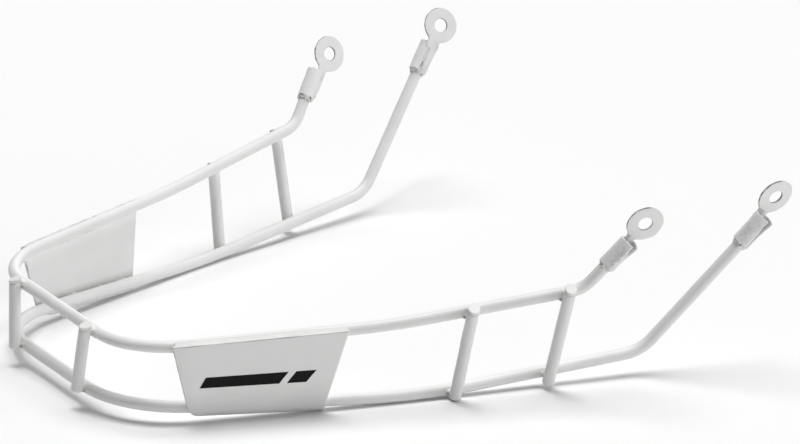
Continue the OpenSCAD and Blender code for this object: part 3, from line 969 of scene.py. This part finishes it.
# How each level's terminals are folded: the seam's middle and half its width at the mouth and
# further down, in degrees, the places past the mouth where it narrows, the fold's extra width to
# the front, its foot's rear edge, and the neck's front and rear edge
FOLDS = {
    "upper": (67, (11, -2.0), (1, 5.5), 1.0, 3.1, -0.7, 3.2),
    "lower": (75, (12, 4.0), (2, 10), 1.16, 2.7, -2.2, 2.75),
}
NECK_RUN = 2.5
NECK_BLEND = 1.0
# How far the section is a plain circle, at the mouth and how much more at the end
ROUND = 0.05
ROUND_MORE = 0.35
# The rear wing: where it begins and ends round the barrel, and how far it is flared, all along
# and how much more at the mouth
WING_FRONT = (-60, -20)
WING_REAR = (52, 80)
FLARE = 0.2
FLARE_MORE = 0.5
# The foot's front edge, how much its rear edge is cut back towards the end, and its tongue's
# middle, half width, taper and length past the end
FOOT_EDGE = 0.2
FOOT_CUT = 0.45
TONGUE_Y = 1.6
TONGUE_HALF = 0.75
TONGUE_TAPER = 0.3
TONGUE_LEN = 1.7
# The crease in the lower terminals' foot: its middle, radius and start past the mouth
CREASE_Y = -0.5
CREASE_R = 0.42
CREASE_START = 2.6
# The skin is drawn in a little, so that its unevenness stays inside the solid
SKIN_IN = 0.045
SKIN_ROUGH = 0.025
# How dark each place is painted at most: the first darker at the ring's rim and its hole, and painted shade
# inside the mouth;
# the others painted shade at the barrel's cut end, on the neck, on the wing, in the crease and beside the
# weld bead
EDGE_AND_MOUTH_DARK = 0.75
END_SHADE = 0.7
NECK_SHADE = 0.35
WING_SHADE = 0.16
CREASE_SHADE = 0.2
BEAD_SHADE = 0.85


def polygon_distance(y, z, corners):
    """Signed distance from a closed polygon, negative inside."""
    best = np.full(len(y), 1e9)
    inside = np.zeros(len(y), bool)
    for (ay, az), (by, bz) in zip(corners, corners[1:] + corners[:1]):
        ey, ez = by - ay, bz - az
        wy, wz = y - ay, z - az
        t = np.clip((wy * ey + wz * ez) / (ey * ey + ez * ez), 0, 1)
        best = np.minimum(best, np.hypot(wy - ey * t, wz - ez * t))
        over = (az > z) != (bz > z)
        inside ^= over & (y < ay + (z - az) / np.where(ez == 0, 1, ez) * ey)
    return np.where(inside, -best, best)


def fold_shape(level, side, offset, end, waves, small):
    """The shape of a terminal in its own frame: the ring, its neck and the fold round the rod."""
    seam_mid, seam_half, seam_stops, widen, rear_edge, neck_front, neck_rear = FOLDS[level]

    def shape(p):
        x, y, z = p.T
        angle = np.degrees(np.arctan2(z, y))
        flat = np.abs(z + BARREL_R - STRIP_T / 2) - STRIP_T / 2
        out = np.hypot(x, y - offset)
        neck = np.maximum.reduce([y - neck_rear, neck_front - y, -x, x - MOUTH - NECK_RUN])
        outline = smooth_min(out - RING_R, neck, NECK_BLEND)
        plan = np.maximum.reduce([outline, HOLE_R - out, flat])
        # The fold is wide at its mouth, with its rear wing flared, and rounder at the other end
        share = ROUND + ROUND_MORE * ramp(x, MOUTH + 4, end)
        slim = np.where(y < 0, y / widen, y)
        pressed = polygon_distance(slim, z, SECTION[side]) - SECTION_R
        outer = (1 - share) * pressed + share * (np.hypot(slim, z) - BARREL_R)
        wing = ramp(angle, *WING_FRONT) * (1 - ramp(angle, *WING_REAR))
        outer = outer - (FLARE + FLARE_MORE * (1 - ramp(x, MOUTH + 0.5, MOUTH + 6))) * wing
        shell = np.maximum(outer, -(outer + STRIP_T))
        # Its foot runs on as a flat strip beside the rod, with a small tongue past the fold's end
        edge = rear_edge - FOOT_CUT * ramp(x, MOUTH + 6.5, end - 2)
        strip = np.maximum.reduce([y - edge, FOOT_EDGE - y, flat])
        tongue = np.maximum.reduce([np.abs(y - TONGUE_Y) - TONGUE_HALF + TONGUE_TAPER * (x - end), flat,
                                    x - end - TONGUE_LEN, end - 2 - x])
        wall = np.minimum(shell, strip)
        # Between the two wings a seam is left, open at the mouth and closing down the barrel
        narrowing = ramp(x, MOUTH + seam_stops[0], MOUTH + seam_stops[1])
        half = seam_half[0] + (seam_half[1] - seam_half[0]) * narrowing
        r = np.maximum(np.hypot(y, z), 0.5)
        seam = np.maximum((np.abs(angle - seam_mid) - half) * np.pi / 180 * r, 1.0 - r)
        # The rear wing's mouth stands nearer to the ring, and the cut end is rough and askew
        start = MOUTH + 0.1 - 0.4 * wing
        stop = end + 0.12 * small(p * [0, 1, 1]) + 0.25 * np.sin(np.radians(angle - 40))
        barrel = np.maximum.reduce([wall, -seam, start - x, x - stop])
        if level == "lower":
            crease_y = y - CREASE_Y + 0.06 * waves(p * [1, 0, 0])
            crease = np.hypot(crease_y, (z + BARREL_R + 0.02) * 0.75) - CREASE_R
            barrel = np.maximum(barrel, -np.maximum(crease, MOUTH + CREASE_START - x))
        return np.minimum.reduce([plan, barrel, tongue]) + SKIN_IN + SKIN_ROUGH * waves(p)
    return shape


def terminal_darkening(points, level, offset, end, end_shade, barrel_band, waves, small):
    """How dark each point of a terminal is painted: painted shade in its gaps, mouth and creases, a darker
    rim, and a darker band on its barrel.
    """
    x, y, z = points.T
    seam_mid = FOLDS[level][0]
    out = np.hypot(x, y - offset)
    turn = np.degrees(np.arctan2(y - offset, -x))
    angle = np.degrees(np.arctan2(z, y))
    # Darker on the ring's cut rim, most at its front, and round its hole
    off_middle = np.abs(z + BARREL_R - STRIP_T / 2)
    rim = ramp(out, RING_R - 0.25, RING_R - 0.08) * ramp(STRIP_T / 2 + 0.04 - off_middle, 0.02, 0.16)
    patchy = 0.85 + 0.25 * waves(points * 2)
    front = np.maximum(EDGE_AND_MOUTH_DARK * patchy * ramp(-turn, 15, 55), hump(turn, -45, 16))
    rim *= (x < RING_R * 0.9) * front + 0.2 * (turn > -60)
    hole = EDGE_AND_MOUTH_DARK * ramp(-out, -HOLE_R - 0.25, -HOLE_R - 0.08)
    # Painted shade at the barrel's cut end, and inside its mouth
    cut = END_SHADE * end_shade * ramp(x, end - 0.45, end - 0.1) * (1 - ramp(y, -0.6, 0.2))
    cut *= np.clip(0.6 + 0.7 * small(points), 0, 1)
    inside = EDGE_AND_MOUTH_DARK * (np.hypot(y, z) < BORE_R + 0.3) * ramp(x, MOUTH + 0.2, MOUTH + 1.2)
    # Painted shade on the neck before the mouth, on the wing beside the seam, and in the crease
    neck = NECK_SHADE * ramp(0.9 - y, 0, 0.4) * (np.abs(z + BARREL_R - STRIP_T) < 0.2)
    neck *= ramp(x, MOUTH - 1.6, MOUTH - 1.1) * (1 - ramp(x, MOUTH + 0.5, MOUTH + 1))
    wing = WING_SHADE * ramp(angle, 25, 45) * (1 - ramp(angle, seam_mid - 4, seam_mid))
    wing *= (x > MOUTH - 1) * (1 - ramp(x, MOUTH + 4, MOUTH + 7))
    crease = ramp(1.0 - np.abs(y - CREASE_Y), 0, 0.6) * ramp(-z, BARREL_R - 0.45, BARREL_R - 0.3)
    crease *= CREASE_SHADE * (level == "lower") * (0.9 + 0.3 * waves(points))
    crease *= ramp(x, MOUTH + 2, MOUTH + 4)
    # A darker band down the barrel's outer face
    middle, width, depth = barrel_band
    band = depth * hump((angle - middle + 180) % 360 - 180, 0, width) * (0.85 + 0.4 * small(points))
    band *= ramp(x, MOUTH + 0.9, MOUTH + 3.5) * (1 - ramp(x, end - 0.6, end))
    band *= np.hypot(y, z) > BARREL_R - 0.65
    return np.clip(np.maximum.reduce([rim, hole, cut, inside, neck, wing, crease, band]), 0, 1)


def terminal_mesh(level, side, offset, end, end_shade, barrel_band, seed):
    waves, small = Waves(seed, 5), Waves(seed + 1, 1.6)
    shape = fold_shape(level, side, offset, end, waves, small)
    lo = vec(-RING_R, min(-4.6, offset - RING_R), -BARREL_R)
    hi = vec(end + 2.0, offset + RING_R, BARREL_R + 0.3)
    points, faces = skin(shape, lo, hi, TERMINAL_STEP)
    return points, faces, terminal_darkening(points, level, offset, end, end_shade, barrel_band, waves, small)


def terminal_weld_mesh(end, end_shade, seed):
    """A low uneven bead round the rod where it enters the barrel, with a gap beside it in places."""
    waves, fine = Waves(seed, 2.6), Waves(seed + 1, 1.0)

    def shape(p):
        x, y, z = p.T
        r = np.hypot(y, z)
        # Places in the noise that depend on the turn round the rod alone
        around = p * [0, 1, 1] / np.maximum(r, 0.5)[:, None] * 2.5
        along = x - end
        size = 0.5 + 0.14 * waves(around)
        bead = np.hypot(along - 0.75 - 0.15 * fine(around), r - ROD_R - 0.05) - size
        fill = np.maximum(r - ROD_R - 0.45 - 0.35 * waves(around + 3), np.abs(along - 0.2) - 0.45)
        body = smooth_min(bead, fill, 0.3) + 0.06 * fine(p)
        return smooth_max(body, ROD_R - 0.2 - r, 0.1)

    lo = vec(end - 0.6, -BARREL_R - 0.4, -BARREL_R - 0.4)
    hi = vec(end + FILLET_LEN + 0.6, BARREL_R + 0.4, BARREL_R + 0.4)
    points, faces = skin(shape, lo, hi, BEAD_STEP)
    x, y, z = points.T
    # Painted shade lies in patches beside the rod, where the bead meets it
    spots = np.clip(0.35 + 0.9 * Waves(seed + 9, 1.4)(points), 0, 1)
    low = 1 - ramp(np.hypot(y, z), ROD_R + 0.05, ROD_R + 0.4)
    return points, faces, np.clip(BEAD_SHADE * end_shade * spots * low, 0, 1)


for level, terminal in (("upper", upper_terminal), ("lower", lower_terminal)):
    # The terminal's own frame can be left-handed
    turned = np.dot(np.cross(terminal.down, terminal.rear), terminal.out) < 0
    for side, seed in (("left", 200), ("right", 220)):
        number = seed + (level == "lower")
        past, end_shade, barrel_band = ENDS[level, side]
        end = MOUTH + BARREL_LEN + past
        fold = terminal_mesh(level, side, terminal.offset, end, end_shade, barrel_band, number)
        bead = terminal_weld_mesh(end, end_shade, number + 40)
        for name, node, (points, faces, shade_and_wear), material, slot in (
                ("terminal_folded", "terminal", fold, sheet_coat, "coated_sheet"),
                ("terminal_weld_bead", "terminal_weld", bead, weld_coat, "coated_weld")):
            faces = faces[:, ::-1] if turned else faces
            placed = on_side(side, terminal.place(points) + DATUM, faces)
            add(f"{level}_{side}_{name}", *placed, material, slot, f"{level}_{side}_{node}", shade_and_wear=shade_and_wear)


# Floor, light and camera
FLOOR_COLOUR = 0.80
# What the camera sees of the floor is a little brighter than what it throws back
FLOOR_SEEN = 0.895
# Half of the table's width, in metres
FLOOR_HALF = 12.0
AMBIENT = 0.01
BACKDROP = 1.0


def floor_material():
    material = bpy.data.materials.new("white_table")
    material.use_nodes = True
    tree = material.node_tree
    tree.nodes.clear()
    new, link = tree.nodes.new, tree.links.new
    out, path, mix = new("ShaderNodeOutputMaterial"), new("ShaderNodeLightPath"), new("ShaderNodeMixShader")
    link(path.outputs["Is Camera Ray"], mix.inputs["Fac"])
    for socket, level in ((1, FLOOR_COLOUR), (2, FLOOR_SEEN)):
        diffuse = new("ShaderNodeBsdfDiffuse")
        diffuse.inputs["Color"].default_value = (level, level, level, 1)
        link(diffuse.outputs[0], mix.inputs[socket])
    link(mix.outputs[0], out.inputs["Surface"])
    return material


mesh = bpy.data.meshes.new("table_top")
mesh.from_pydata([(x * FLOOR_HALF, y * FLOOR_HALF, 0) for x, y in ((-1, -1), (1, -1), (1, 1), (-1, 1))],
                 [], [(0, 1, 2, 3)])
mesh.materials.append(floor_material())
floor = bpy.data.objects.new("table_top", mesh)
bpy.context.scene.collection.objects.link(floor)


def studio_world():
    """White behind the table as the camera sees it, which sends next to no light itself."""
    world = bpy.data.worlds.new("studio")
    world.use_nodes = True
    tree = world.node_tree
    tree.nodes.clear()
    new, link = tree.nodes.new, tree.links.new
    out, path, mix = new("ShaderNodeOutputWorld"), new("ShaderNodeLightPath"), new("ShaderNodeMixShader")
    seen = new("ShaderNodeMath")
    seen.operation = "MAXIMUM"
    link(path.outputs["Is Camera Ray"], seen.inputs[0])
    link(path.outputs["Is Transmission Ray"], seen.inputs[1])
    link(seen.outputs[0], mix.inputs["Fac"])
    for socket, strength in ((1, AMBIENT), (2, BACKDROP)):
        white = new("ShaderNodeBackground")
        white.inputs["Color"].default_value = (1, 1, 1, 1)
        white.inputs["Strength"].default_value = strength
        link(white.outputs[0], mix.inputs[socket])
    link(mix.outputs[0], out.inputs["Surface"])
    return world


bpy.context.scene.world = studio_world()

# Soft lamps: where each one's light comes from (degrees from +X towards +Y, degrees up), how
# wide it is in degrees, and its strength
LAMPS = {
    "overhead_softbox": (0, 90, 16, 0.62),
    "far_side_softbox": (180, 70, 30, 1.42),
    "back_softbox": (90, 70, 30, 0.92),
    "low_back_softbox": (45, 18, 40, 0.89),
    "low_far_softbox": (135, 20, 40, 0.46),
    "low_near_softbox": (0, 18, 40, 0.41),
}
for name, (azimuth, elevation, width, strength) in LAMPS.items():
    light = bpy.data.lights.new(name, "SUN")
    light.energy, light.angle = strength, radians(width)
    lamp = bpy.data.objects.new(name, light)
    azimuth, elevation = radians(azimuth), radians(elevation)
    way = Vector((cos(elevation) * cos(azimuth), cos(elevation) * sin(azimuth), sin(elevation)))
    lamp.rotation_euler = way.to_track_quat("Z", "Y").to_euler()
    lamp.location = 2 * way
    bpy.context.scene.collection.objects.link(lamp)

# The camera, from its fit to the photograph
AZIMUTH, ELEVATION, ROLL = radians(61.16), radians(19.5), radians(1.29)
# The part's origin as the camera sees it: to the right, down and away, in millimetres
SHIFT_TO_CAMERA = vec(-23.43, 37.82, 2105.34)
SENSOR_W = 36.0
LENS = 256.0
view_way = vec(-sin(AZIMUTH) * cos(ELEVATION), cos(AZIMUTH) * cos(ELEVATION), -sin(ELEVATION))
right = vec(cos(AZIMUTH), sin(AZIMUTH), 0)
down = np.cross(view_way, right)
right, down = (cos(ROLL) * right + sin(ROLL) * down, -sin(ROLL) * right + cos(ROLL) * down)
spin = np.array([right, down, view_way])
eye = -spin.T @ SHIFT_TO_CAMERA * MM
data = bpy.data.cameras.new("camera")
data.sensor_width, data.sensor_fit = SENSOR_W, "HORIZONTAL"
data.lens = LENS
data.clip_start, data.clip_end = 0.05, 60.0
camera = bpy.data.objects.new("camera", data)
turned = np.array([right, -down, -view_way]).T
camera.matrix_world = Matrix.Translation(Vector(eye)) @ Matrix(turned.tolist()).to_4x4()
bpy.context.scene.collection.objects.link(camera)
bpy.context.scene.camera = camera

bpy.context.scene.view_settings.view_transform = "Standard"
